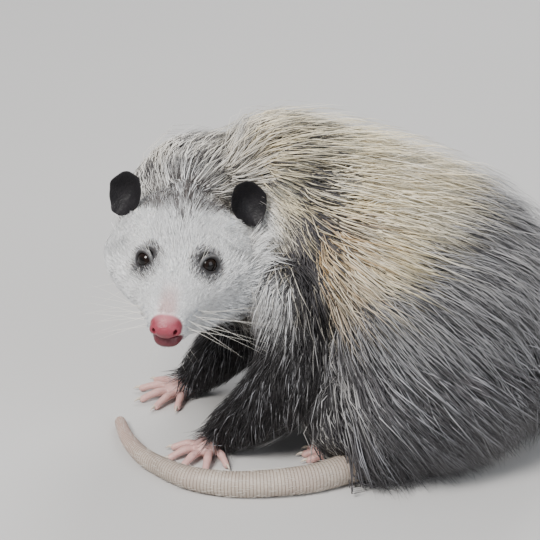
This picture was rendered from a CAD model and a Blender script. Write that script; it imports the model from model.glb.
"""Looks for a still, life-size Virginia opossum: one skin, a coat of solid hair blades, eyes,
ears, scaly tail, claws and whiskers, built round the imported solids, with a plain studio stage.

Shapes are worked out in millimetres in the space of the body's own drawing: it heads towards -X,
its left side faces -Y, the face looks along -Y, and the floor is z = 0. to_model() takes them to
the model's metres.
"""
import math

import bmesh
import bpy
import numpy as np
from bpy.props import FloatProperty, FloatVectorProperty, IntProperty, PointerProperty
from mathutils import Matrix, Vector
from mathutils.bvhtree import BVHTree
from mathutils.kdtree import KDTree


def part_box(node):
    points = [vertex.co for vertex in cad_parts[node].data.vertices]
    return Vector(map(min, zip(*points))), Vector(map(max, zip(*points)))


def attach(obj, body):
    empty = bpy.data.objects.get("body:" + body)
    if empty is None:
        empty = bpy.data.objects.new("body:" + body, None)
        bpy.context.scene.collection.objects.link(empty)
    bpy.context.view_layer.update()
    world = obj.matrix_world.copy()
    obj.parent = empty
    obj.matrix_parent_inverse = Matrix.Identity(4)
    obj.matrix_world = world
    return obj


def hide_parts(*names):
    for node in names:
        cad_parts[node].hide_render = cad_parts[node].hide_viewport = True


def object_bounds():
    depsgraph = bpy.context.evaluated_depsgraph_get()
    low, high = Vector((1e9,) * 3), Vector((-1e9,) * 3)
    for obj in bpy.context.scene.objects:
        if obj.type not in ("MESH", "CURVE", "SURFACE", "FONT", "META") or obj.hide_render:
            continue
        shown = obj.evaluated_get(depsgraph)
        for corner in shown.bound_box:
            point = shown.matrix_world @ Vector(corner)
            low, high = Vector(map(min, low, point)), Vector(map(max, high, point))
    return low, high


bl_info = {
    "name": "Opossum dresser",
    "version": (1, 0, 0),
    "blender": (4, 5, 0),
    "location": "3D View > Sidebar > Opossum",
    "description": "Skin, coat, eyes, ears, tail, claws, whiskers and stage of a still opossum",
    "category": "Object",
}

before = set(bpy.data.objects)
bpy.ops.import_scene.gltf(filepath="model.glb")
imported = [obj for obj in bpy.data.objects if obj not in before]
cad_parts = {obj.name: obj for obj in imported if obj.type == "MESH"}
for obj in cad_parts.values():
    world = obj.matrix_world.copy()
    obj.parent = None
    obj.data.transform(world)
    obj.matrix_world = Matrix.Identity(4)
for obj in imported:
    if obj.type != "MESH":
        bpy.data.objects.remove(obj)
CAD_BOX = [list(corner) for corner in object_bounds()]

# Coat depth from skin to hair tips in millimetres, and the level in it where the skin is modelled
BACK_COAT, SIDE_COAT, BELLY_COAT, ARM_COAT, NECK_COAT = 31, 25, 12, 12, 25
SKIN_LEVEL = 0.4

HEAD_AT = (-101, -51, 129)
HEAD_YAW, HEAD_PITCH, HEAD_ROLL = 6, 5, -2.5
EYE_RADIUS = 6.2
EYE_AT = (-0.5, 18.5, 12.5)
EYE_TURN, EYE_LIFT = 36, 8
EAR_AT = (-43, 40, 33)
EAR_DEEP, EAR_HALF_WIDE, EAR_HALF_TALL = 9, 11.5, 16
EAR_TURN, EAR_ROLL, EAR_PITCH = 30, 18, -8

# x, y, z of the centre, half width, half height, and the share of the coat that lengthens the body there
TORSO_SECTIONS = (
    (-66, 30, 136, 12, 16, -0.4), (-58, 30, 135, 18, 34, -0.2), (-46, 26, 132, 20, 48, 0),
    (-30, 19, 124, 29, 58, 0), (-10, 11, 113, 42, 64, 0), (16, 5, 99, 55, 70, 0),
    (48, 4, 84, 64, 73, 0), (78, 5, 77, 62, 65, 0.1), (102, 6, 74, 50, 50, 0.3),
    (118, 6, 71, 33, 33, 0.55), (127, 6, 68, 15, 15, 0.65),
)
TORSO_FRONT, TORSO_REAR = (-68, 30, 137), (130, 6, 67)
NECK_AT, NECK_RADII = (-86, 28, 128), (35, 28, 42)

# distance ahead of the eyes, half width, top and bottom heights, coat depth
HEAD_SECTIONS = (
    (55.5, 5.8, 2.2, -8.6, 0), (52, 8.6, 4.6, -10.6, 0), (46, 10.6, 6.2, -11.8, 0.4),
    (38, 13.4, 8.2, -13.4, 0.8), (28, 17, 10.8, -16, 1.5), (16, 22, 14, -20, 2.5),
    (4, 28, 18.6, -25, 4), (-9, 34, 24, -28, 7), (-23, 38, 29, -31, 12), (-37, 39, 32, -31, 17),
    (-49, 35, 31, -28, 20), (-58, 27, 26.5, -22, 20), (-63, 15, 17, -10, 16),
)
HEAD_FRONT, HEAD_BACK = (56.8, 0, -3.2), (-65, 0, 4)
JAW_SECTIONS = (
    (48.5, 4.5, -14.5, -19, 0), (46, 7.5, -11, -21, 0), (38, 9.5, -10.5, -22.5, 0.5),
    (26, 12.5, -12, -25.5, 1), (12, 17, -15, -29, 1.5), (0, 21, -18, -31, 2),
)
JAW_FRONT, JAW_BACK = (50.2, 0, -17), (-6, 0, -24)

# x, y, z of the centre and radius, from the root to the tip
TAIL_POINTS = (
    (112, 4, 43, 15), (119, -13, 27, 13.5), (106, -34, 13.6, 12.2), (83, -51, 10.4, 11.2),
    (55, -63, 9.75, 10.5), (27, -71.5, 9.3, 10), (11, -76.5, 9.1, 9.8), (-15, -89, 8.55, 9.2),
    (-41, -95, 8, 8.6), (-67, -95, 7.5, 8.1), (-93, -87, 6.9, 7.4), (-113, -70, 6.05, 6.5),
    (-126, -53, 5.2, 5.6), (-136, -30, 4.2, 4.5), (-142, -4, 3.25, 3.5),
)

# joints of each foreleg with flesh radii, then the palm's place and heading in degrees
ARMS = {
    "left": (((-16, -26, 98, 26), (-24, -47, 60, 18), (-50, -46, 33, 12), (-72, -41, 15, 8)),
             (-82, -42), 237),
    "right": (((-40, 44, 104, 25), (-42, 54, 64, 17), (-68, 46, 36, 12), (-91, 38, 15, 8)),
              (-102, 37), 200),
}
ARM_COATS = (1.0, 1.0, 0.75, 0.35)
THIGHS = {"left": (58, -42, 77), "right": (58, 50, 77)}
THIGH_RADII, THIGH_PITCH, THIGH_YAW = (57, 29, 49), 30, 12
THIGH_COATS = (0.55, 0.8, 0.6)
SHANKS = {
    "left": ((4, -56, 40, 21), (24, -52, 24, 17), (28, -47, 13, 10)),
    "right": ((4, 64, 40, 21), (24, 60, 24, 17), (28, 54, 13, 10)),
}
FORE_PALM, HIND_PALM = (12, 9, 6.5), (30, 9, 7)
HIND_FEET = {"left": ((27, -47), 186), "right": ((27, 54), 174)}
# spread in degrees, root ahead and aside of the palm, length, radius, claw length
FORE_TOES = ((58, 1, 6, 19, 2.5, 4.5), (29, 6, 5.5, 21, 2.6, 5), (2, 8, 1, 22, 2.6, 5),
             (-26, 6.5, -4.5, 21, 2.6, 5), (-56, 2, -7, 18, 2.4, 4.5))
HIND_TOES = ((72, 8, 6, 17, 3.3, 0), (14, 24, 6, 21, 2.8, 5), (4, 26, 2, 23, 2.8, 5),
             (-6, 25, -2.5, 22, 2.8, 5), (-18, 22, -6.5, 19, 2.7, 4.5))
# share of the toe's length, height and girth of each joint
TOE_ARCH = ((0, 0.9, 1.0), (0.22, 1.2, 1.0), (0.45, 1.25, 1.08), (0.7, 0.95, 0.9), (0.92, 0.55, 0.92))
FLIPS = {"left": -1, "right": 1}

# Share of a hair's length at which its colour shows
MARK_REACH = 0.78

# How far apart the points of each remeshed form are
TRUNK_VOXEL, HEAD_VOXEL, PAW_VOXEL = 2.6, 1.05, 0.8

# How low each of them may reach
HAIR_FLOOR, BRISTLE_FLOOR, TAIL_FLOOR, CLAW_FLOOR = 0.35, 0.1, 0.06, 0.15

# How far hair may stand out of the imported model's box before it is drawn back, and by what share
BOX_MARGIN, BOX_PULL = 7, 0.4

# Width in texture space of the patch that each blade bakes to
BAKE_PATCH = 0.003

# Camera: degrees above the floor, then distance and width of view in metres, and how far beside
# and below the eyes it aims
CAMERA_RISE, CAMERA_REACH, VIEW_WIDTH, SENSOR_WIDTH = 26, 1.8, 0.3456, 36
VIEW_BESIDE_EYES, VIEW_BELOW_EYES = 0.0576, 0.0051

WHITE, CREAM, STRAW = (0.92, 0.92, 0.92), (0.84, 0.69, 0.39), (0.76, 0.58, 0.30)
SHADE_GREY, DARK, BLACK = (0.30, 0.30, 0.32), (0.06, 0.056, 0.06), (0.018, 0.016, 0.017)
RUST, PINK, BLUISH = (0.40, 0.22, 0.07), (0.56, 0.33, 0.30), (0.58, 0.64, 0.72)
NOSE_PINK, LIP_RED = (0.25, 0.036, 0.055), (0.11, 0.017, 0.025)


def rotation(angle, axis):
    """A turn by degrees about X, Y or Z."""
    return np.array(Matrix.Rotation(math.radians(angle), 3, axis))


HEAD_TURN = rotation(-90 - HEAD_YAW, "Z") @ rotation(HEAD_PITCH, "Y") @ rotation(HEAD_ROLL, "X")


def from_head(points):
    """Head space (ahead, to its left, up) to body space."""
    return np.asarray(points, float) @ HEAD_TURN.T + np.array(HEAD_AT)


def to_head(points):
    """Body space to head space."""
    return (np.asarray(points, float) - np.array(HEAD_AT)) @ HEAD_TURN


def eye_centre(side):
    """An eye's centre in body space, 1 for the left eye and -1 for the right."""
    return from_head((EYE_AT[0], side * EYE_AT[1], EYE_AT[2]))


def eye_turn(side):
    """Eye space, +Z along the gaze, to body space."""
    return HEAD_TURN @ rotation(side * EYE_TURN, "Z") @ rotation(90 - EYE_LIFT, "Y")


def packed_shift():
    """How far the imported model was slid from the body's drawing, read from its eyes."""
    boxes = [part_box(f"eye_{side}") for side in FLIPS]
    packed = sum(((low + high) / 2 for low, high in boxes), Vector()) / 2
    drawn = (eye_centre(1) + eye_centre(-1)) / 2
    shift = np.array(packed) * 1000 - drawn
    shift[2] = 0
    return shift


SHIFT = packed_shift()


def to_model(points):
    """Body millimetres to model metres."""
    return (np.asarray(points, float) + SHIFT) * 0.001


def step(low, high, value):
    """Smooth 0 to 1 as value goes from low to high, either way round."""
    share = np.clip((np.asarray(value, float) - low) / (high - low), 0, 1)
    return share * share * (3 - 2 * share)


def mix(first, second, share):
    """First to second, as share goes from 0 to 1."""
    share = np.asarray(share, float)[..., None]
    return np.asarray(first, float) * (1 - share) + np.asarray(second, float) * share


def curve_through(rows, spacing):
    """Catmull-Rom rows through rows of any width, evenly spaced by their first three columns."""
    rows = np.array(rows, float)
    ends = np.vstack([2 * rows[0] - rows[1], rows, 2 * rows[-1] - rows[-2]])
    fine = []
    for i in range(1, len(ends) - 2):
        a, b, c, d = ends[i - 1:i + 3]
        for t in np.linspace(0, 1, 24, endpoint=False):
            fine.append(0.5 * (2 * b + (c - a) * t + (2 * a - 5 * b + 4 * c - d) * t ** 2
                               + (3 * b - a - 3 * c + d) * t ** 3))
    fine = np.array(fine + [rows[-1]])
    along = np.concatenate([[0], np.cumsum(np.linalg.norm(np.diff(fine[:, :3], axis=0), axis=1))])
    wanted = np.linspace(0, along[-1], max(2, round(along[-1] / spacing) + 1))
    return np.stack([np.interp(wanted, along, fine[:, k]) for k in range(fine.shape[1])], axis=1)


class Shells:
    """Closed shells gathered as points and faces, in body millimetres."""

    def __init__(self):
        self.points, self.faces = [], []

    def add(self, points, faces):
        first = len(self.points)
        self.points += [tuple(point) for point in points]
        self.faces += [[first + i for i in face] for face in faces]

    def loft(self, rings, front, back):
        count = len(rings[0])
        points = [point for ring in rings for point in ring] + [front, back]
        faces = []
        for r in range(len(rings) - 1):
            for i in range(count):
                j = (i + 1) % count
                faces.append((r * count + i, r * count + j, (r + 1) * count + j, (r + 1) * count + i))
        first, last = len(points) - 2, len(points) - 1
        for i in range(count):
            j = (i + 1) % count
            faces.append((i, first, j))
            faces.append(((len(rings) - 1) * count + i, (len(rings) - 1) * count + j, last))
        self.add(points, faces)

    def ellipsoid(self, centre, radii, turn=None, around=32, rings=18):
        turn = np.eye(3) if turn is None else turn
        rows = []
        for r in range(1, rings):
            a = math.pi * r / rings
            rows.append([np.asarray(centre) + turn @ (np.array(
                (math.cos(a), math.sin(a) * math.cos(b), math.sin(a) * math.sin(b))) * radii)
                for b in np.linspace(0, 2 * math.pi, around, endpoint=False)])
        ahead = turn @ np.array((radii[0], 0, 0))
        self.loft(rows, np.asarray(centre) + ahead, np.asarray(centre) - ahead)

    def capsule(self, start, end, start_radius, end_radius, around=24):
        start, end = np.array(start, float), np.array(end, float)
        ahead = (end - start) / np.linalg.norm(end - start)
        side = np.cross(ahead, (0.13, 0.29, 0.95))
        side /= np.linalg.norm(side)
        up = np.cross(ahead, side)
        rings = []
        for centre, radius, turns in ((start, start_radius, (-70, -45, -20, 0)),
                                      (end, end_radius, (0, 20, 45, 70))):
            for turn in turns:
                a = math.radians(turn)
                rings.append([centre + ahead * radius * math.sin(a)
                              + (side * math.cos(b) + up * math.sin(b)) * radius * math.cos(a)
                              for b in np.linspace(0, 2 * math.pi, around, endpoint=False)])
        self.loft(rings, start - ahead * start_radius, end + ahead * end_radius)

    def limb(self, joints):
        for a, b in zip(joints, joints[1:]):
            self.capsule(a[:3], b[:3], a[3], b[3])

    def tree(self):
        return BVHTree.FromPolygons([Vector(p) for p in self.points], self.faces)

    def piece(self, triangulated=True):
        """The shells as one closed object, in model metres."""
        bm = bmesh.new()
        corners = [bm.verts.new(point) for point in to_model(self.points)]
        for face in self.faces:
            bm.faces.new([corners[i] for i in face])
        bmesh.ops.recalc_face_normals(bm, faces=bm.faces)
        if triangulated:
            bmesh.ops.triangulate(bm, faces=bm.faces)
        mesh = bpy.data.meshes.new("shells")
        bm.to_mesh(mesh)
        bm.free()
        made = bpy.data.objects.new("shells", mesh)
        bpy.context.scene.collection.objects.link(made)
        return made

    def smooth_piece(self, name, finish):
        """The shells as a smooth-shaded piece with a name and a material."""
        made = self.piece()
        made.name = made.data.name = name
        made.data.shade_smooth()
        made.data.materials.append(finish)
        return made

    def remeshed(self, voxel, smoothing):
        """The union of the shells as one even, smooth mesh of closed quads, in model metres."""
        made = self.piece(triangulated=False)
        even = made.modifiers.new("even", "REMESH")
        even.mode = "VOXEL"
        even.voxel_size = voxel * 0.001
        soft = made.modifiers.new("soft", "SMOOTH")
        soft.iterations = smoothing
        soft.factor = 0.5
        return finished(made)


def finished(made):
    """The object with its modifiers turned into plain mesh."""
    graph = bpy.context.evaluated_depsgraph_get()
    mesh = bpy.data.meshes.new_from_object(made.evaluated_get(graph))
    made.modifiers.clear()
    old = made.data
    made.data = mesh
    bpy.data.meshes.remove(old)
    return made


def mesh_piece(name, points, triangles, material, smooth=True):
    """A piece from arrays of model-space points and triangles."""
    mesh = bpy.data.meshes.new(name)
    mesh.vertices.add(len(points))
    mesh.vertices.foreach_set("co", np.asarray(points, np.float32).ravel())
    mesh.loops.add(len(triangles) * 3)
    mesh.loops.foreach_set("vertex_index", np.asarray(triangles, np.int32).ravel())
    mesh.polygons.add(len(triangles))
    mesh.polygons.foreach_set("loop_start", np.arange(0, len(triangles) * 3, 3, dtype=np.int32))
    mesh.update(calc_edges=True)
    mesh.validate()
    mesh.materials.append(material)
    if smooth:
        mesh.shade_smooth()
    made = bpy.data.objects.new(name, mesh)
    bpy.context.scene.collection.objects.link(made)
    return made


def colour_points(mesh, name, colours):
    """A colour attribute at each point."""
    layer = mesh.attributes.new(name, "FLOAT_COLOR", "POINT")
    full = np.ones((len(mesh.vertices), 4), np.float32)
    full[:, :3] = colours
    layer.data.foreach_set("color", full.ravel())


def value_points(mesh, name, values):
    """A number attribute at each point."""
    layer = mesh.attributes.new(name, "FLOAT", "POINT")
    layer.data.foreach_set("value", np.asarray(values, np.float32))


def points_of(mesh):
    """The mesh's points in its own space."""
    found = np.empty(len(mesh.vertices) * 3, np.float32)
    mesh.vertices.foreach_get("co", found)
    return found.reshape(-1, 3).astype(float)


def body_millimetres(points):
    """Model metres to body millimetres."""
    return points * 1000 - SHIFT


# The body's forms at any level of the coat


def trunk_coat(rise):
    """Depth of the trunk's coat where its surface rises by that sine."""
    above = (BACK_COAT - SIDE_COAT) * np.maximum(rise, 0)
    return SIDE_COAT + above + (SIDE_COAT - BELLY_COAT) * np.minimum(rise, 0)


def add_torso(shells, level):
    rings = []
    turns = np.linspace(0, 2 * math.pi, 44, endpoint=False)
    for x, y, z, half_width, half_height, lengthen in curve_through(TORSO_SECTIONS, 7):
        depth = level * trunk_coat(np.sin(turns))
        rings.append(np.stack([np.full(len(turns), x + lengthen * level * SIDE_COAT),
                               y + np.cos(turns) * (half_width + depth),
                               z + np.sin(turns) * (half_height + depth)], axis=1))
    front = np.array(TORSO_FRONT, float) - (level * SIDE_COAT * 0.55, 0, 0)
    rear = np.array(TORSO_REAR, float) + (level * SIDE_COAT * 0.7, 0, 0)
    shells.loft(rings, front, rear)


def add_neck(shells, level):
    shells.ellipsoid(NECK_AT, np.array(NECK_RADII) + level * NECK_COAT)


def head_rings(sections, level, sides=48):
    turns = np.linspace(0, 2 * math.pi, sides, endpoint=False)
    rows = curve_through(sections, 2.2)
    rings = []
    for ahead, half_width, top, bottom, coat in rows:
        half_width += max(coat, 0) * level
        top += max(coat, 0) * level * 0.7
        bottom -= max(coat, 0) * level * 0.9
        middle = (top + bottom) / 2 - 0.06 * (top - bottom)
        rise = np.sin(turns)
        reach = np.where(rise > 0, top - middle, middle - bottom)
        rings.append(from_head(np.stack([np.full(sides, ahead), half_width * np.cos(turns),
                                         middle + reach * rise], axis=1)))
    return rings


def add_head(shells, level):
    shells.loft(head_rings(HEAD_SECTIONS, level), from_head(HEAD_FRONT), from_head(HEAD_BACK))


def add_arm(shells, side, level):
    shells.limb([(*point[:3], point[3] + level * ARM_COAT * coat)
                 for point, coat in zip(ARMS[side][0], ARM_COATS)])


def add_thigh(shells, side, level):
    turn = rotation(FLIPS[side] * -THIGH_YAW, "Z") @ rotation(-THIGH_PITCH, "Y")
    depth = level * SIDE_COAT
    radii = [r + depth * share for r, share in zip(THIGH_RADII, THIGH_COATS)]
    shells.ellipsoid(THIGHS[side], radii, turn)
    shells.limb([(*point[:3], point[3] + depth * 0.2) for point in SHANKS[side]])


def toe_path(base, heading, length, radius):
    """x, y, z, radius rows of an arched toe that ends on the floor."""
    aim = np.array((math.cos(heading), math.sin(heading), 0))
    rows = []
    for t, height, girth in TOE_ARCH:
        place = (base + aim * length * t)[:2]
        rows.append((*place, max(radius * girth * 0.92, 4.2 * height), radius * girth))
    return rows, aim


def paw_layouts():
    """Palm place, heading, palm radii, toes and side of each paw."""
    for side, flip in FLIPS.items():
        _, palm_at, heading = ARMS[side]
        foot_at, foot_heading = HIND_FEET[side]
        yield palm_at, heading, FORE_PALM, FORE_TOES, flip
        yield foot_at, foot_heading, HIND_PALM, HIND_TOES, flip


def toes_of(palm_at, heading, toes, flip):
    """Each toe's rows, aim and claw length."""
    turn = rotation(heading, "Z")
    for angle, ahead, aside, reach, radius, nail in toes:
        base = np.array((*palm_at, 0)) + turn @ np.array((ahead, flip * aside, 0))
        rows, aim = toe_path(base, math.radians(heading + flip * angle), reach, radius)
        yield rows, aim, nail


def add_paws(shells):
    for palm_at, heading, palm, toes, flip in paw_layouts():
        centre = (*palm_at, palm[2] * 0.86)
        shells.ellipsoid(centre, palm, rotation(heading, "Z"), 28, 14)
        for rows, _, _ in toes_of(palm_at, heading, toes, flip):
            shells.limb(rows)


# Shader building: a socket with arithmetic, and one maker of every other node


class Value:
    """A shader socket on which Python arithmetic adds Math nodes."""

    def __init__(self, kit, socket):
        self.kit, self.socket = kit, socket

    def _math(self, operation, first, second):
        return self.kit.node("ShaderNodeMath", {"operation": operation}, {0: first, 1: second})

    def __add__(self, other):
        return self._math("ADD", self, other)

    __radd__ = __add__

    def __sub__(self, other):
        return self._math("SUBTRACT", self, other)

    def __rsub__(self, other):
        return self._math("SUBTRACT", other, self)

    def __mul__(self, other):
        return self._math("MULTIPLY", self, other)

    __rmul__ = __mul__

    def between(self, low, high):
        """0 to 1, smoothly, as the value goes from low to high."""
        return self.kit.node("ShaderNodeMapRange", {"interpolation_type": "SMOOTHSTEP"},
                             {"Value": self, "From Min": low, "From Max": high})


class Finish:
    """One material and the makers of its nodes."""

    def __init__(self, name, **constants):
        self.material = bpy.data.materials.new(name)
        self.material.use_nodes = True
        self.tree = self.material.node_tree
        self.shader = self.tree.nodes["Principled BSDF"]
        for socket, value in constants.items():
            self.shader.inputs[socket.replace("_", " ")].default_value = value

    def node(self, kind, settings=None, sockets=None, output=0):
        made = self.tree.nodes.new(kind)
        for key, value in (settings or {}).items():
            setattr(made, key, value)
        for key, value in (sockets or {}).items():
            if isinstance(value, Value):
                self.tree.links.new(value.socket, made.inputs[key])
            else:
                made.inputs[key].default_value = value
        return Value(self, made.outputs[output])

    def mixed(self, first, second, share, blend="MIX"):
        """Two colours mixed: the node's colour sockets are inputs 6 and 7 and output 2."""
        return self.node("ShaderNodeMix", {"data_type": "RGBA", "blend_type": blend},
                         {0: share, 6: first, 7: second}, output=2)

    def place(self):
        """Object coordinates."""
        return self.node("ShaderNodeTexCoord", output=3)

    def attribute(self, name, output=0):
        """A point attribute, as a colour from output 0 or as a number from output 2."""
        return self.node("ShaderNodeAttribute", {"attribute_name": name}, output=output)

    def noise(self, scale, detail=3.0):
        sockets = {"Vector": self.place(), "Scale": scale, "Detail": detail, "Roughness": 0.55}
        return self.node("ShaderNodeTexNoise", {}, sockets)

    def feed(self, socket, value):
        self.tree.links.new(value.socket, self.shader.inputs[socket])

    def bump(self, height, distance, strength):
        sockets = {"Height": height, "Distance": distance, "Strength": strength}
        self.feed("Normal", self.node("ShaderNodeBump", {}, sockets))


def brightened(finish, colour, scale, amount, detail=2.0):
    """The colour, lighter and darker in patches of the given scale."""
    wave = finish.noise(scale, detail)
    low, high = (1 - amount,) * 3 + (1,), (1 + amount,) * 3 + (1,)
    return finish.mixed(colour, finish.mixed(low, high, wave), 1.0, "MULTIPLY")


def skin_finish():
    """Skin with the coat's markings, smoother and pebbled where it is bare."""
    finish = Finish("skin", Roughness=0.55)
    tint, bare = finish.attribute("tint"), finish.attribute("bare", 2)
    finish.feed("Base Color", brightened(finish, tint, 220, 0.16, 4))
    finish.feed("Roughness", 0.8 - bare * 0.42 + finish.noise(500) * 0.12)
    cells = finish.node("ShaderNodeTexVoronoi", {}, {"Vector": finish.place(), "Scale": 1100})
    finish.bump(cells * bare * 0.8 + finish.noise(700) * 0.5, 0.0004, 0.6)
    finish.shader.inputs["Subsurface Weight"].default_value = 0.12
    finish.shader.inputs["Subsurface Radius"].default_value = (0.004, 0.002, 0.001)
    return finish.material


def coat_finish(name, roughness):
    """Hair that takes its colour from each blade and shines more towards the tip."""
    finish = Finish(name, Roughness=roughness)
    tint, along = finish.attribute("tint"), finish.attribute("along", 2)
    finish.feed("Base Color", brightened(finish, tint, 90, 0.1))
    finish.feed("Roughness", roughness + 0.18 - along * 0.2)
    return finish.material


def eye_finish():
    """Black, wet eye with a trace of dark brown round the pupil."""
    finish = Finish("eye_gloss", Roughness=0.03, IOR=1.36)
    gaze = finish.attribute("gaze", 2)
    streaks = finish.noise(900)
    brown = gaze.between(0.55, 0.72) * (1 - gaze.between(0.86, 0.93)) * streaks
    finish.feed("Base Color", finish.mixed((0.003, 0.002, 0.002, 1), (0.014, 0.006, 0.003, 1), brown))
    return finish.material


def ear_finish():
    """Thin black leather with fine wrinkles."""
    finish = Finish("ear_leather", Roughness=0.5, Specular_IOR_Level=0.25)
    wave = finish.noise(160, 5)
    finish.feed("Base Color", finish.mixed((0.004, 0.004, 0.005, 1), (0.016, 0.014, 0.016, 1), wave))
    finish.feed("Roughness", 0.45 + finish.noise(420) * 0.25)
    cells = finish.node("ShaderNodeTexVoronoi", {"feature": "DISTANCE_TO_EDGE"},
                        {"Vector": finish.place(), "Scale": 520})
    finish.bump(cells + wave * 0.6, 0.0006, 0.7)
    return finish.material


def tail_finish():
    """Pale scaly skin: rings of small scales with darker seams."""
    finish = Finish("tail_scales", Roughness=0.5)
    tint, seam = finish.attribute("tint"), finish.attribute("seam", 2)
    wrap = finish.node("ShaderNodeUVMap", {"uv_map": "Wrap"})
    rows = {"Vector": wrap, "Scale": 1.0, "Brick Width": 0.05, "Row Height": 0.0021, "Mortar Size": 0.0003}
    shades = {"Color1": (1, 1, 1, 1), "Color2": (0.9, 0.9, 0.9, 1), "Mortar": (0.55, 0.5, 0.48, 1)}
    scales = finish.node("ShaderNodeTexBrick", {"offset": 0.5}, {**rows, **shades})
    colour = finish.mixed(tint, scales, 1.0, "MULTIPLY")
    colour = finish.mixed(colour, (0.20, 0.14, 0.11, 1), seam * 0.1)
    finish.feed("Base Color", brightened(finish, colour, 60, 0.22, 4))
    finish.feed("Roughness", 0.42 + finish.noise(300) * 0.25)
    edge = finish.node("ShaderNodeTexBrick", {"offset": 0.5}, rows, output=1)
    finish.bump(1 - edge, 0.0005, 0.6)
    return finish.material


def plain_finish(name, colour, roughness, scale=300, amount=0.15):
    """One colour in slightly lighter and darker patches."""
    finish = Finish(name, Roughness=roughness)
    finish.feed("Base Color", brightened(finish, (*colour, 1), scale, amount))
    return finish.material


# Markings: what colour the hair and skin have at each place


# distance ahead of the eyes, distance left, height and side of each long whisker's root
WHISKER_ROWS = [(ahead, side * (11.5 + (40 - ahead) * 0.36), up, side)
                for side in (1, -1)
                for up, starts in ((-2.0, (42, 36, 30)), (-5.5, (44, 38, 32, 26)),
                                   (-9.0, (42, 36, 30, 24)))
                for ahead in starts]


# root, way and length of each whisker of the brow, cheek and chin, in head space
OTHER_WHISKERS = (
    ((9, 13, 24), (0.1, 0.25, 1), 26), ((6, 17, 25), (0, 0.45, 0.9), 24),
    ((11, 10, 23), (0.2, 0.1, 1), 20), ((-14, 34, -12), (-0.1, 1, -0.5), 30),
    ((-12, 33, -16), (0, 1, -0.7), 26), ((40, 4, -24), (0.1, 0.35, -1), 22),
    ((34, 6, -25), (-0.2, 0.5, -1), 24), ((28, 8, -26), (-0.3, 0.4, -1), 26),
)


def zone_weights(points):
    """How much each form owns each point: head, neck, torso, arms, thighs and paws."""
    forms = {}
    for name, add in (("head", add_head), ("neck", add_neck), ("torso", add_torso)):
        forms[name] = Shells()
        add(forms[name], SKIN_LEVEL)
    forms["arm"], forms["thigh"], forms["paw"] = Shells(), Shells(), Shells()
    for side in FLIPS:
        add_arm(forms["arm"], side, SKIN_LEVEL)
        add_thigh(forms["thigh"], side, SKIN_LEVEL)
    add_paws(forms["paw"])
    distances = {}
    for name, shells in forms.items():
        tree = shells.tree()
        distances[name] = np.array([tree.find_nearest(Vector(point))[3] for point in points])
    nearest = np.min(list(distances.values()), axis=0)
    soft = {"head": 4, "neck": 7, "torso": 8, "arm": 5, "thigh": 8, "paw": 1.5}
    weights = {name: np.exp(-(gap - nearest) / soft[name]) for name, gap in distances.items()}
    total = sum(weights.values())
    return {name: weight / total for name, weight in weights.items()}


def blotches(points, size, seed):
    """Soft random patches from 0 to 1, of about the given size in millimetres."""
    draw = np.random.RandomState(seed)
    value = np.zeros(len(points))
    for _ in range(10):
        way = draw.normal(size=3)
        way /= np.linalg.norm(way)
        waves = points @ way * 2 * math.pi / (size * draw.uniform(0.7, 1.8))
        value += np.sin(waves + draw.uniform(0, 6.3))
    return 0.5 + 0.5 * np.tanh(value / 2.2)


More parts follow.
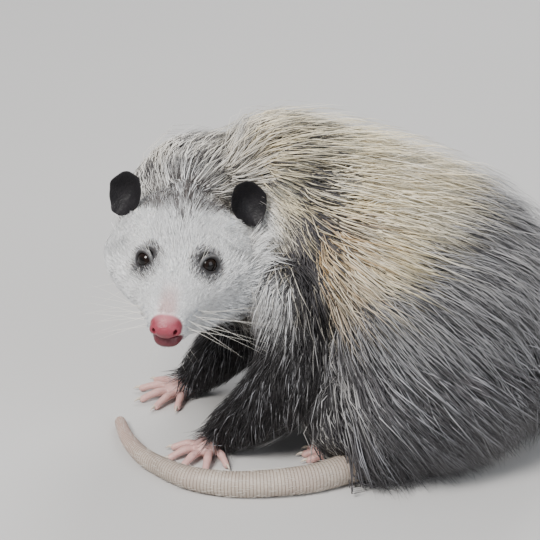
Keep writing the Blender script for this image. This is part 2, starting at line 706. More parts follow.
def markings(points, weights):
    """Pale and dark hair colours, the share of dark hair, and the skin's colour and bareness."""
    ahead, left, up = to_head(points).T
    x, y, z = points.T
    patchy = blotches(points, 26, 3)
    fine = blotches(points, 9, 4)
    count = len(points)

    # Torso: cream back and flank, darker along the spine
    torso = mix(CREAM, WHITE, 0.12 + 0.45 * patchy)
    torso_dark = 0.01 + 0.08 * step(165, 195, z) + 0.03 * fine
    # The dark band behind the neck runs down into the foreleg
    centre = -14 + 0.10 * (z - 90)
    band = np.exp(-((x - centre) / (22 + 4 * patchy)) ** 4)
    band = band * (0.72 + 0.24 * step(185, 120, z)) * step(60, 20, y)
    torso_dark = np.maximum(torso_dark, band)
    rust = np.exp(-((x - 17 - 4 * (patchy - 0.5)) / 10) ** 2)
    rust = rust * step(168, 150, z) * step(70, 100, z) * (0.3 + 0.7 * fine)
    torso = mix(torso, RUST, 0.8 * rust)
    # Rump and hindquarter: grizzled grey below a line that climbs towards the rear
    line = np.interp(x, (-24, 12, 92, 110), (19, 96, 160, 215))
    hind = step(8, -10, z - line) * step(-34, -10, x)
    torso = mix(torso, (0.33, 0.33, 0.35), 0.9 * hind)
    torso_dark = np.maximum(torso_dark, 0.6 * hind)
    belly = step(45, 15, z) * step(30, -10, x)
    torso_dark = np.maximum(torso_dark, 0.7 * belly)

    thigh_dark = 0.55 + 0.3 * step(80, 25, z) - 0.25 * step(34, -10, x) + 0.2 * (fine - 0.5)
    neck_dark = 0.34 + 0.18 * (patchy - 0.5) + 0.45 * step(104, 72, z)
    neck = mix((0.66, 0.62, 0.55), WHITE, 0.4 * patchy)
    # The white ruff of the cheek lies over the side of the neck
    ruff = step(-26, -40, x) * step(74, 90, z) * step(24, 0, y) * step(172, 150, z)
    torso = mix(torso, WHITE, ruff)
    torso_dark = torso_dark * (1 - 0.9 * ruff)
    neck = mix(neck, WHITE, 0.85 * ruff)
    neck = mix(neck, (0.46, 0.42, 0.36), 0.7 * step(-46, -30, x))
    neck_dark = np.maximum(neck_dark, band) * (1 - 0.9 * ruff)
    neck = mix(neck, STRAW, 0.35 * step(150, 170, z) * step(6, -10, y))

    # Head: white face, grizzled crown that narrows forwards, dark eye rings and forehead spot
    crown = step(-26, -38, ahead) * step(4, 16, up) * step(-6, 6, (-ahead - 22) * 1.6 - np.abs(left))
    spot = np.exp(-((ahead + 27) / 6) ** 2 - (left / 4.5) ** 2) * step(10, 18, up)
    rings = np.zeros(count)
    for side in (1, -1):
        gap = np.linalg.norm(points - eye_centre(side), axis=1)
        inner = np.linalg.norm(points - from_head((7.5, side * 14.5, 9.5)), axis=1)
        rings = np.maximum(rings, np.maximum(step(15.5, 8.5, gap), 0.6 * step(10, 3, inner)))
    jowl = step(-4, -22, up) * step(30, -10, ahead)
    head = mix(WHITE, BLUISH, 0.16 * jowl)
    head = mix(head, STRAW, 0.35 * step(-38, -50, ahead) * step(10, 24, left) * step(8, 24, up))
    head_dark = np.clip(0.7 * crown + 0.5 * spot + 0.85 * rings, 0, 0.9)
    head_dark = np.maximum(head_dark, 0.35 * step(-44, -58, ahead) * step(20, 0, up))

    thigh = mix((0.27, 0.27, 0.29), (0.42, 0.40, 0.36), step(26, -10, x))
    arm = mix(np.tile(SHADE_GREY, (count, 1)), WHITE, 0.8 * ruff)
    shares = (("torso", torso, torso_dark), ("thigh", thigh, thigh_dark), ("neck", neck, neck_dark),
              ("head", head, head_dark), ("arm", arm, 0.88 * (1 - 0.85 * ruff)),
              ("paw", np.tile(PINK, (count, 1)), np.zeros(count)))
    pale = sum(np.asarray(colour) * weights[name][:, None] for name, colour, _ in shares)
    grizzle = sum(share * weights[name] for name, _, share in shares)
    dark = mix(DARK, BLACK, weights["arm"])
    dark = mix(dark, (0.10, 0.085, 0.08), weights["head"] * (1 - rings))

    # Bare skin: the nose, its bridge, the lips, the paws and the rims of the eyes
    nose = step(48.5, 51.5, ahead + 0.2 * np.abs(left)) * step(-11.2, -10.2, up)
    bridge = step(16, 44, ahead) * step(9, 2, np.abs(left)) * step(-2, 3, up)
    lips = step(34, 42, ahead) * step(-9.6, -11.2, up) * step(-20.5, -18.5, up)
    bare = np.clip(nose + weights["paw"] + lips, 0, 1)
    skin = mix(mix(pale, dark, grizzle * 0.8) * 0.75, PINK, weights["paw"])
    skin = mix(skin, (0.72, 0.50, 0.48), 0.55 * bridge)
    skin = mix(skin, LIP_RED, lips)
    tip = mix(NOSE_PINK, (0.44, 0.17, 0.19), step(0.5, 3.5, up) * 0.7)
    tip = mix(tip, (0.22, 0.04, 0.05), step(1.1, 0.3, np.abs(left)) * step(-4, -6, up))
    skin = skin * (1 - nose[:, None]) + tip * nose[:, None]
    for side in (1, -1):
        gap = np.linalg.norm(points - eye_centre(side), axis=1)
        rim = step(9.2, 7.6, gap)
        skin = mix(skin, BLACK, rim)
        bare = np.maximum(bare, 0.8 * rim)
    # Dark specks where the whiskers grow
    specks = np.zeros(count)
    near_muzzle = weights["head"] > 0.2
    for row_ahead, _, row_up, _ in WHISKER_ROWS:
        gap = np.hypot(ahead - row_ahead, up - row_up)
        specks = np.maximum(specks, step(1.7, 0.7, gap) * near_muzzle)
    skin = mix(skin, (0.22, 0.24, 0.30), 0.6 * specks)
    pale = mix(pale, (0.45, 0.48, 0.55), 0.7 * specks)
    pale = mix(pale, (0.76, 0.52, 0.50), 0.8 * bridge)
    return {"pale": pale, "dark": dark, "grizzle": grizzle, "bare": bare, "skin": skin}


# The coat: where hair grows, how long, how high and which way


def lies(points):
    """The way hair runs in each zone."""
    head = to_head(points)
    back = (head - np.array(HEAD_FRONT) * (1, 0, 0.3)) @ HEAD_TURN.T
    back /= np.linalg.norm(back, axis=1)[:, None] + 1e-9
    splay = 0.9 * step(4, 34, head[:, 1]) * step(-8, -30, head[:, 0])
    back = back + splay[:, None] * HEAD_TURN[:, 1]
    ones = np.ones(len(points))
    away = points - np.array(HEAD_AT)
    away /= np.linalg.norm(away, axis=1)[:, None]
    rise = np.clip((points[:, 2] - 120) / 60, 0, 1)
    return {
        "head": back,
        "neck": away + (0.9, 0.1, -0.35),
        "torso": np.stack([ones, 0 * ones, -0.25 - 0.6 * (1 - rise)], axis=1),
        "thigh": np.stack([0.6 * ones, 0 * ones, -0.85 * ones], axis=1),
        "arm": np.stack([-0.15 * ones, 0 * ones, -1.0 * ones], axis=1),
        "paw": np.stack([-ones, 0 * ones, -0.2 * ones], axis=1),
    }


def coat_fields(points, normals, weights):
    """Height of the hair tips over the skin, hair length and the lie, at each point."""
    ahead, left, up = to_head(points).T
    sections = sorted((section[0], section[4]) for section in HEAD_SECTIONS)
    head_coat = np.interp(ahead, *zip(*sections))
    over = 1 - SKIN_LEVEL
    heights = {
        "head": np.maximum(head_coat * over, 0.9), "neck": NECK_COAT * over,
        "torso": trunk_coat(normals[:, 2]) * over, "thigh": SIDE_COAT * 0.75 * over,
        "arm": ARM_COAT * over * 0.9, "paw": 0.8,
    }
    head_length = np.interp(ahead, (-60, -40, -20, -6, 8, 25, 45), (34, 30, 21, 12, 7.5, 5, 3))
    head_length = head_length * (1 - 0.35 * step(10, 24, up) * step(-36, -10, ahead))
    lengths = {"head": head_length, "neck": 44, "torso": 54, "thigh": 50, "arm": 27, "paw": 4}
    flow = lies(points)
    near_eye = np.ones(len(points))
    near_ear = np.ones(len(points))
    clear_ear = np.ones(len(points))
    for side in (1, -1):
        gap = np.linalg.norm(points - eye_centre(side), axis=1)
        near_eye = np.minimum(near_eye, 0.3 + 0.7 * step(8, 18, gap))
        seat = from_head((EAR_AT[0] + 6, side * EAR_AT[1], EAR_AT[2]))
        gap = np.linalg.norm(points - seat, axis=1)
        before = step(-50, -44, ahead) * step(0, 12, up)
        near_ear = np.minimum(near_ear, 1 - 0.72 * before * step(34, 16, gap))
        nearer = step(seat[1] + 42, seat[1] + 24, points[:, 1])
        clear_ear = np.minimum(clear_ear, 1 - 0.88 * nearer * step(46, 28, gap))
    ruff = step(-4, -26, ahead) * step(22, 4, up) * step(-4, 16, left)
    beard = step(24, 2, ahead) * step(-8, -20, up) * step(-6, 10, left)
    near_ear = np.minimum(near_ear, clear_ear)
    ruff = ruff * clear_ear ** 2
    hackles = 12 * clear_ear * step(-84, -52, points[:, 0]) * step(130, 160, points[:, 2])
    heights["head"] = heights["head"] * near_eye * near_ear + 12 * ruff + 7 * beard
    lengths["head"] = lengths["head"] * near_eye * np.sqrt(near_ear) + 10 * ruff + 8 * beard
    lengths["neck"] = lengths["neck"] * np.sqrt(clear_ear)
    lengths["torso"] = lengths["torso"] * np.sqrt(clear_ear)
    heights["torso"] = heights["torso"] * clear_ear
    heights["neck"] = heights["neck"] * clear_ear + hackles
    lie = sum(flow[name] * weights[name][:, None] for name in flow)
    height = sum(heights[name] * weights[name] for name in heights)
    length = sum(lengths[name] * weights[name] for name in lengths)
    # Belly hair is short and lies flat
    low = step(30, 8, points[:, 2])
    return height, length * (1 - 0.35 * low), lie


def clear_of_ears(centres):
    """Which blades have no point in the hollow of an ear."""
    kept = np.ones(len(centres[0]), bool)
    middles = [(first + second) / 2 for first, second in zip(centres, centres[1:])]
    for side in (1, -1):
        hollow = from_head((EAR_AT[0] + 3, side * EAR_AT[1], EAR_AT[2] + 1))
        for place in centres + middles:
            kept &= np.linalg.norm(place - hollow, axis=1) > EAR_HALF_WIDE
    return kept


def reined_in(points):
    """Body millimetres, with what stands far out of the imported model's box drawn back to it."""
    low, high = [np.array(corner) * 1000 - SHIFT for corner in CAD_BOX]
    low = low - BOX_MARGIN
    high = high + BOX_MARGIN
    points = np.where(points > high, high + (points - high) * BOX_PULL, points)
    return np.where(points < low, low + (points - low) * BOX_PULL, points)


# share of a blade's length and of its height at each ring and the tip, and each ring's width
BLADE_RISES = {
    2: ((0.0, -0.12), (0.5, 0.72), (1.0, 1.0)),
    3: ((0.0, -0.12), (0.36, 0.58), (0.7, 0.9), (1.0, 1.0)),
}
BLADE_TAPERS = {2: (0.8, 0.85), 3: (0.75, 1.0, 0.72)}


class Coat:
    """Grows hair blades on the skin, from fields at its points."""

    def __init__(self, skin):
        mesh = skin.data
        mesh.calc_loop_triangles()
        self.points = body_millimetres(points_of(mesh))
        found = np.empty(len(mesh.vertices) * 3, np.float32)
        mesh.vertices.foreach_get("normal", found)
        self.normals = found.reshape(-1, 3).astype(float)
        triangles = np.empty(len(mesh.loop_triangles) * 3, np.int32)
        mesh.loop_triangles.foreach_get("vertices", triangles)
        self.triangles = triangles.reshape(-1, 3)
        loops = np.empty(len(mesh.loop_triangles) * 3, np.int32)
        mesh.loop_triangles.foreach_get("loops", loops)
        flat = np.empty(len(mesh.loops) * 2, np.float32)
        mesh.uv_layers["Unwrap"].data.foreach_get("uv", flat)
        self.unwrap = flat.reshape(-1, 2)[loops].reshape(-1, 3, 2)
        a, b, c = [self.points[self.triangles[:, k]] for k in range(3)]
        self.areas = np.linalg.norm(np.cross(b - a, c - a), axis=1) / 2
        self.tree = BVHTree.FromPolygons(self.points.tolist(), self.triangles.tolist())
        self.weights = zone_weights(self.points)
        self.skin_marks = markings(self.points, self.weights)
        self.height, self.length, self.lie = coat_fields(self.points, self.normals, self.weights)
        flow = self.along(self.lie, self.normals)
        self.marks = markings(self.points + flow * self.length[:, None] * MARK_REACH, self.weights)

    def roots(self, count, chance, draw):
        """Random places on the skin, as triangles and shares of their corners, as chance says."""
        odds = self.areas * chance[self.triangles].mean(axis=1)
        picked = draw.choice(len(odds), count, p=odds / odds.sum())
        u, v = draw.uniform(size=(2, count))
        over = u + v > 1
        u[over] = 1 - u[over]
        v[over] = 1 - v[over]
        return picked, np.stack([1 - u - v, u, v], axis=1)

    def read(self, field, picked, shares):
        """A point field's values at places on the skin."""
        corners = field[self.triangles[picked]]
        return np.einsum("nk,nk...->n...", shares, corners)

    def settle(self, places):
        """The nearest points of the skin and their normals."""
        near, normal = np.empty_like(places), np.empty_like(places)
        find = self.tree.find_nearest
        for i, place in enumerate(places.tolist()):
            hit = find(place)
            near[i], normal[i] = hit[0], hit[1]
        return near, normal

    def grow(self, name, count, chance, material, seed, rings=2, width=0.85, stretch=1.0, lift=1.0,
             clump=0.5, whitening=0.0, hang=0.0, flare=0.0):
        """One piece of coat: count blades, each following the skin along the lie at its height.

        A blade that hangs leaves the skin by that share, and one that flares leans to the left.
        """
        draw = np.random.RandomState(seed)
        picked, shares = self.roots(count, chance, draw)
        place = self.read(self.points, picked, shares)
        normal = self.read(self.normals, picked, shares)
        normal /= np.linalg.norm(normal, axis=1)[:, None]
        lie = self.read(self.lie, picked, shares)
        height = self.read(self.height, picked, shares) * lift * draw.uniform(0.62, 1.12, count)
        length = self.read(self.length, picked, shares) * stretch * draw.uniform(0.72, 1.18, count)
        flow = self.along(lie, normal)
        swing = (draw.normal(0, 0.26, count) + 0.8 * (blotches(place, 16, seed) - 0.5))[:, None]
        flow = self.along(flow + np.cross(normal, flow) * swing, normal)
        pull = self.clump_pull(place, count, clump, draw)

        centres, sides, normals = [], [], []
        base, reached = place.copy(), 0.0
        for share, rise in BLADE_RISES[rings]:
            if share:
                free = base + (flow - (0, flare, 0)) * (length * (share - reached))[:, None]
                base, normal = self.settle(free)
                base = base * (1 - hang) + free * hang
                flow = self.along(flow * 1.2 + lie, normal)
            reached = share
            centres.append(base + normal * (height * rise)[:, None] + pull * (share ** 1.3))
            sides.append(np.cross(normal, flow))
            normals.append(normal)
        girth = width * draw.uniform(0.75, 1.25, count) * np.clip(length / 24, 0.35, 1.15)
        kept = clear_of_ears(centres)
        centres, sides, normals = [[rows[kept] for rows in field] for field in (centres, sides, normals)]
        girth, picked, shares = girth[kept], picked[kept], shares[kept]
        made, pattern = self.blades(name, centres, sides, normals, girth, material)
        along = np.concatenate([np.repeat([share for share, _ in BLADE_RISES[rings][:-1]], 3), [1.0]])
        value_points(made.data, "along", np.tile(along, len(girth)))
        tints = self.tints(along, picked, shares, draw, whitening)
        colour_points(made.data, "tint", tints.reshape(-1, 3))
        self.bake_patches(made.data, pattern, along, picked, shares)
        return made

    @staticmethod
    def along(way, normal):
        """The way turned to lie in the skin, one unit long."""
        flat = way - normal * np.einsum("nk,nk->n", way, normal)[:, None]
        return flat / (np.linalg.norm(flat, axis=1)[:, None] + 1e-9)

    @staticmethod
    def clump_pull(place, count, strength, draw):
        """How far each tip moves towards the middle of its lock."""
        middles = place[draw.permutation(count)[:max(count // 14, 1)]]
        tree = KDTree(len(middles))
        for i, middle in enumerate(middles.tolist()):
            tree.insert(middle, i)
        tree.balance()
        nearest = np.array([tree.find(point)[1] for point in place.tolist()])
        return (middles[nearest] - place) * strength

    @staticmethod
    def blades(name, centres, sides, normals, girth, material):
        """Three-sided blades through rings of centres, closed at the root and pointed at the tip."""
        rings, count = len(centres) - 1, len(girth)
        columns = []
        for k, wide in enumerate(BLADE_TAPERS[rings]):
            half = (girth * wide / 2)[:, None]
            columns += [centres[k] + sides[k] * half, centres[k] - sides[k] * half,
                        centres[k] + normals[k] * half * 0.9]
        columns.append(centres[-1])
        points = reined_in(np.stack(columns, axis=1))
        points[:, :, 2] = np.maximum(points[:, :, 2], HAIR_FLOOR)
        per = 3 * rings + 1
        pattern = [(0, 2, 1)]
        for k in range(rings - 1):
            for i in range(3):
                j = (i + 1) % 3
                a, b, c, d = 3 * k + i, 3 * k + j, 3 * k + 3 + j, 3 * k + 3 + i
                pattern += [(a, b, c), (a, c, d)]
        last = 3 * (rings - 1)
        pattern += [(last + i, last + (i + 1) % 3, per - 1) for i in range(3)]
        pattern = np.array(pattern)
        triangles = (pattern[None] + np.arange(count)[:, None, None] * per).reshape(-1, 3)
        return mesh_piece(name, to_model(points.reshape(-1, 3)), triangles, material), pattern

    def tints(self, along, picked, shares, draw, whitening):
        """Each blade's colour at each of its points: dark or pale hair, duller at the root."""
        count = len(picked)
        pale = self.read(self.marks["pale"], picked, shares)
        dark = self.read(self.marks["dark"], picked, shares)
        grizzle = self.read(self.marks["grizzle"], picked, shares)
        is_dark = step(-0.12, 0.12, grizzle - draw.uniform(0, 1, count))
        is_dark = is_dark * (1 - whitening * step(0.95, 0.8, grizzle))
        tone = draw.uniform(0.82, 1.1, count)[:, None]
        body = mix(pale, dark, is_dark) * tone
        root = mix(body * 0.9, dark * 1.8, np.clip(grizzle * 1.2 - 0.1, 0, 0.85))
        mixed_fur = step(0.9, 0.3, grizzle) * step(0.05, 0.3, grizzle)
        light = mix(body, np.minimum(pale * 1.15, 0.9), 0.45 * mixed_fur)
        share = step(0.0, 0.45, along)[None, :]
        colour = mix(root[:, None, :], body[:, None, :], np.repeat(share, count, 0))
        share = step(0.55, 1.0, along)[None, :]
        return np.clip(mix(colour, light[:, None, :], np.repeat(share, count, 0)), 0, 0.92)

    def bake_patches(self, mesh, pattern, along, picked, shares):
        """A small patch for each blade, at its root's place on the skin's unwrap."""
        root = np.einsum("nk,nkc->nc", shares, self.unwrap[picked])
        across = np.array([(i % 3) / 2 for i in range(len(along) - 1)] + [0.5])
        local = np.stack([across - 0.5, along - 0.5], axis=1) * BAKE_PATCH
        corner = root[:, None, :] + local[None]
        uv = corner[:, pattern.ravel(), :].reshape(-1, 2)
        layer = mesh.uv_layers.new(name="OFBake")
        layer.data.foreach_set("uv", np.clip(uv, 0.0005, 0.9995).astype(np.float32).ravel())


# The pieces


def boolean(base, cutter, operation):
    """Joins or cuts base by a closed piece, which is then gone."""
    change = base.modifiers.new("change", "BOOLEAN")
    change.operation = operation
    change.object = cutter
    change.solver = "MANIFOLD"
    finished(base)
    bpy.data.objects.remove(cutter)


def ring_shell(centre, turn, height, major, minor, around=48, sides=12):
    """A closed torus round the z of a turned space, as points and faces."""
    points, faces = [], []
    for i in range(around):
        a = 2 * math.pi * i / around
        for j in range(sides):
            b = 2 * math.pi * j / sides
            reach = major + minor * math.cos(b)
            place = np.array((reach * math.cos(a) * 1.06, reach * math.sin(a), height + minor * math.sin(b)))
            points.append(centre + turn @ place)
            k, n = (i + 1) % around, (j + 1) % sides
            faces.append((i * sides + j, k * sides + j, k * sides + n, i * sides + n))
    return points, faces


def mouth_slit():
    """A thin slab that parts the lips from the nose back to the cheeks."""
    rows = curve_through([(60, 0, -13.0), (48, 0, -12.6), (38, 0, -13.2), (28, 0, -15), (19, 0, -18)], 2)
    shells, rings = Shells(), []
    for ahead, _, up in rows:
        rings.append(from_head([(ahead, 26, up - 0.45), (ahead, 26, up + 0.45),
                                (ahead, -26, up + 0.45), (ahead, -26, up - 0.45)]))
    shells.loft(rings, from_head((60.5, 0, -13.0)), from_head((18.2, 0, -18.2)))
    return shells


def trunk_shells(level):
    """Torso, neck, forelegs and thighs."""
    shells = Shells()
    add_torso(shells, level)
    add_neck(shells, level)
    for side in FLIPS:
        add_arm(shells, side, level)
        add_thigh(shells, side, level)
    return shells


def head_shells(level):
    """The head with its jaw, nose, wings of the nose and whisker pads."""
    shells = Shells()
    add_head(shells, level)
    shells.loft(head_rings(JAW_SECTIONS, level, 36), from_head(JAW_FRONT), from_head(JAW_BACK))
    shells.ellipsoid(from_head((52.5, 0, -2.6)), (6, 9, 5.6), HEAD_TURN)
    for side in (1, -1):
        wing, pad = HEAD_TURN @ rotation(side * 24, "Z"), HEAD_TURN @ rotation(side * -14, "Z")
        shells.ellipsoid(from_head((51.0, side * 6.6, -4.2)), (4.6, 3.0, 4.0), wing)
        shells.ellipsoid(from_head((40.0, side * 8.6, -8.2)), (10.0, 4.2, 4.6), pad)
    return shells


def make_skin():
    """The whole skin but the tail and ears, with sockets, lids, nostrils and lips."""
    base = head_shells(SKIN_LEVEL).remeshed(HEAD_VOXEL, 3)
    boolean(base, trunk_shells(SKIN_LEVEL).remeshed(TRUNK_VOXEL, 5), "UNION")
    paws = Shells()
    add_paws(paws)
    boolean(base, paws.remeshed(PAW_VOXEL, 2), "UNION")
    for side in (1, -1):
        lids = Shells()
        lids.add(*ring_shell(eye_centre(side), eye_turn(side), 2.9, 6.0, 1.5))
        boolean(base, lids.piece(), "UNION")
    holes = Shells()
    for side in (1, -1):
        holes.ellipsoid(eye_centre(side), [EYE_RADIUS + 0.12] * 3, None, 40, 24)
    boolean(base, holes.piece(), "DIFFERENCE")
    nostrils = Shells()
    for side in (1, -1):
        nostrils.ellipsoid(from_head((55.4, side * 6.2, -3.4)), (4.0, 1.6, 2.0),
                           HEAD_TURN @ rotation(side * 30, "Z"), 20, 12)
    boolean(base, nostrils.piece(), "DIFFERENCE")
    boolean(base, mouth_slit().piece(), "DIFFERENCE")
    base.name = base.data.name = "skin"
    bm = bmesh.new()
    bm.from_mesh(base.data)
    for vertex in bm.verts:
        vertex.co.z = max(vertex.co.z, 0)
    bmesh.ops.triangulate(bm, faces=bm.faces)
    bm.to_mesh(base.data)
    bm.free()
    base.data.materials.clear()
    base.data.materials.append(skin_finish())
    base.data.shade_smooth()
    return base


def unwrap_skin(skin):
    """Six charts of the skin by the way each face looks, side by side."""
    mesh = skin.data
    places = points_of(mesh)
    low, high = places.min(axis=0), places.max(axis=0)
    share = (places - low) / (high - low).max()
    normals = np.empty(len(mesh.polygons) * 3, np.float32)
    mesh.polygons.foreach_get("normal", normals)
    normals = normals.reshape(-1, 3)
    axis = np.abs(normals).argmax(axis=1)
    sign = normals[np.arange(len(normals)), axis] > 0
    corners = np.empty(len(mesh.loops), np.int32)
    mesh.loops.foreach_get("vertex_index", corners)
    sizes = np.empty(len(mesh.polygons), np.int32)
    mesh.polygons.foreach_get("loop_total", sizes)
    axis, sign = np.repeat(axis, sizes), np.repeat(sign, sizes)
    flat = np.empty((len(corners), 2))
    for k, (first, second) in enumerate(((1, 2), (0, 2), (0, 1))):
        chosen = axis == k
        flat[chosen] = share[corners[chosen]][:, (first, second)]
    flat = 0.01 + flat * 0.31
    flat[:, 0] += axis * 0.333
    flat[:, 1] += np.where(sign, 0.0, 0.5)
    layer = mesh.uv_layers.new(name="Unwrap")
    layer.data.foreach_set("uv", flat.astype(np.float32).ravel())


def make_eye(side, finish):
    """A glossy eyeball whose gaze attribute is 1 at the middle of the pupil."""
    shells = Shells()
    turn = eye_turn(side) @ rotation(-90, "Y")
    shells.ellipsoid(eye_centre(side), [EYE_RADIUS] * 3, turn, 56, 36)
    made = shells.smooth_piece("eyeball_left" if side == 1 else "eyeball_right", finish)
    gaze = eye_turn(side) @ np.array((0, 0, 1))
    away = body_millimetres(points_of(made.data)) - eye_centre(side)
    value_points(made.data, "gaze", np.clip(away @ gaze / EYE_RADIUS, 0, 1))
    return made


def ear_surface(side, share, a, back):
    """A point of the ear cup, share of the way from its floor to its rim, in body millimetres."""
    wide = EAR_HALF_WIDE * (1 - 0.28 * np.maximum(-np.sin(a), 0) ** 1.5)
    ripple = 0.5 * np.sin(5 * a + side) * share ** 3 + 0.35 * np.sin(9 * a) * share ** 4
    deep = -EAR_DEEP * (1 - share ** 1.8) + ripple - 1.2 * share ** 6 * np.maximum(np.sin(a), 0)
    folds = 0.7 * np.exp(-((share - 0.45) / 0.13) ** 2) * np.maximum(-np.sin(a - 0.5), 0)
    place = np.stack([deep + folds, (wide + ripple * 0.4) * share * np.cos(a),
                      EAR_HALF_TALL * share * np.sin(a)], -1)
    if back:
        place = place - np.stack([1.35 - 0.75 * share ** 2, 0 * share, 0 * share], -1)
        place[..., 1:] *= 1.0 + 0.02 * (1 - share[..., None])
    turn = (HEAD_TURN @ rotation(side * EAR_TURN, "Z") @ rotation(side * EAR_ROLL, "X")
            @ rotation(EAR_PITCH, "Y"))
    seat = from_head((EAR_AT[0], side * EAR_AT[1], EAR_AT[2]))
    return place @ turn.T + seat


def make_ear(side, finish):
    """A thin leathery ear, hollow towards the front, closed round its rim."""
    around, rings = 72, 22
    turns = np.linspace(0, 2 * math.pi, around, endpoint=False)
    shells, rows = Shells(), []
    for r in range(1, rings + 1):
        rows.append(ear_surface(side, np.full(around, r / rings), turns, False))
    rim = (ear_surface(side, np.full(around, 1.0), turns, False)
           + ear_surface(side, np.full(around, 1.0), turns, True)) / 2
    outward = rim - rim.mean(axis=0)
    rows.append(rim + outward / np.linalg.norm(outward, axis=1)[:, None] * 0.35)
    for r in range(rings, 0, -1):
        rows.append(ear_surface(side, np.full(around, r / rings), turns, True))
    floor = ear_surface(side, np.zeros(1), np.zeros(1), False)[0]
    behind = ear_surface(side, np.zeros(1), np.zeros(1), True)[0]
    shells.loft(rows, floor, behind)
    name = "ear_leather_left" if side == 1 else "ear_leather_right"
    return shells.smooth_piece(name, finish)


def make_tail():
    """The bare tail: rings of scales standing a little proud, and a blunt pinkish tip."""
    rows = curve_through(TAIL_POINTS, 0.7)
    along = np.concatenate([[0], np.cumsum(np.linalg.norm(np.diff(rows[:, :3], axis=0), axis=1))])
    sides = 40
    ahead = np.gradient(rows[:, :3], axis=0)
    ahead /= np.linalg.norm(ahead, axis=1)[:, None]
    across = np.cross(ahead, (0, 0, 1.0))
    across /= np.linalg.norm(across, axis=1)[:, None]
    up = np.cross(across, ahead)
    phase = (along / 2.1) % 1
    relief = 0.05 * np.sin(phase * 2 * math.pi)
    left = along[-1] - along
    blunt = np.sqrt(np.clip(1 - np.clip(1 - left / 3.4, 0, 1) ** 2, 0.02, 1))
    turns = np.linspace(0, 2 * math.pi, sides, endpoint=False)
    lumps = 1 + 0.02 * np.sin(3 * turns[None, :] + along[:, None] / 9)
    lumps = lumps + 0.015 * np.sin(along[:, None] / 17)
    radius = (rows[:, 3] * blunt + relief * np.minimum(blunt, 1))[:, None] * lumps
    points = (rows[:, None, :3] + across[:, None, :] * (np.cos(turns) * radius)[..., None]
              + up[:, None, :] * (np.sin(turns) * radius)[..., None])
    points[:, :, 2] = np.maximum(points[:, :, 2], TAIL_FLOOR)
    count = len(rows)
    grid = np.arange(count * sides).reshape(count, sides)
    a, b = grid[:-1], np.roll(grid, -1, axis=1)[:-1]
    c, d = np.roll(grid, -1, axis=1)[1:], grid[1:]
    quads = np.stack([np.stack([a, b, c], -1), np.stack([a, c, d], -1)], axis=2).reshape(-1, 3)
    first, last = count * sides, count * sides + 1
    ends = [(grid[0, j], first, grid[0, (j + 1) % sides]) for j in range(sides)]
    ends += [(grid[-1, (j + 1) % sides], last, grid[-1, j]) for j in range(sides)]
    everything = np.vstack([points.reshape(-1, 3), rows[0, :3], rows[-1, :3] + ahead[-1] * 0.3])
    triangles = np.vstack([quads[:, ::-1], ends])
    made = mesh_piece("tail_skin", to_model(everything), triangles, tail_finish())
    bm = bmesh.new()
    bm.from_mesh(made.data)
    bmesh.ops.recalc_face_normals(bm, faces=bm.faces)
    bm.to_mesh(made.data)
    bm.free()

    # Brown at the root, pinkish at the tip
    share = np.append(np.repeat(along / along[-1], sides), (0, 1))
    patch = blotches(everything, 30, 8)
    tint = mix((0.34, 0.26, 0.22), (0.43, 0.37, 0.31), step(0.02, 0.3, share) * (0.6 + 0.4 * patch))
    tint = mix(tint, (0.52, 0.36, 0.31), step(0.8, 0.97, share) * 0.8)
    tint = mix(tint, (0.30, 0.24, 0.21), 0.55 * step(0.16, 0.02, share))
    colour_points(made.data, "tint", tint)
    seam = np.append(np.repeat(np.clip(-np.sin(phase * 2 * math.pi), 0, 1) ** 2, sides), (0, 0))
    value_points(made.data, "seam", seam)
    # Round the tail and along it in metres, with no triangle torn where the turn closes
    number = np.append(np.tile(turns / (2 * math.pi), count), (0.5, 0.5))
    wrap = np.stack([number, np.append(np.repeat(along, sides), (0, along[-1])) * 0.001], axis=1)
    corners = np.empty(len(made.data.loops), np.int32)
    made.data.loops.foreach_get("vertex_index", corners)
    flat = wrap[corners].reshape(-1, 3, 2)
    torn = flat[:, :, 0].max(axis=1) - flat[:, :, 0].min(axis=1) > 0.5
    flat[:, :, 0] += (torn[:, None] & (flat[:, :, 0] < 0.5)) * 1.0
    layer = made.data.uv_layers.new(name="Wrap")
    layer.data.foreach_set("uv", flat.astype(np.float32).ravel())
    # The way the short hairs lean
    sweep = made.data.attributes.new("sweep", "FLOAT_VECTOR", "POINT")
    lean = np.vstack([np.repeat(ahead, sides, axis=0), ahead[0], ahead[-1]])
    outward = everything - np.vstack([np.repeat(rows[:, :3], sides, axis=0), rows[0, :3], rows[-1, :3]])
    outward /= np.linalg.norm(outward, axis=1)[:, None] + 1e-9
    sweep.data.foreach_set("vector", (lean + outward * 0.3).astype(np.float32).ravel())
    return made


def bristle():
    """One short hair, standing on the origin along +Z, as a closed cone of metres."""
    shells = Shells()
    rings = [[(0.09 * math.cos(a) * girth + lean, 0.09 * math.sin(a) * girth, z)
              for a in np.linspace(0, 2 * math.pi, 4, endpoint=False)]
             for z, girth, lean in ((0, 1, 0), (1.6, 0.8, 0.1))]
    shells.loft(rings, (0, 0, -0.2), (0.35, 0, 3.4))
    made = shells.piece()
    made.data.transform(Matrix.Translation(-Vector(SHIFT * 0.001)))
    return made


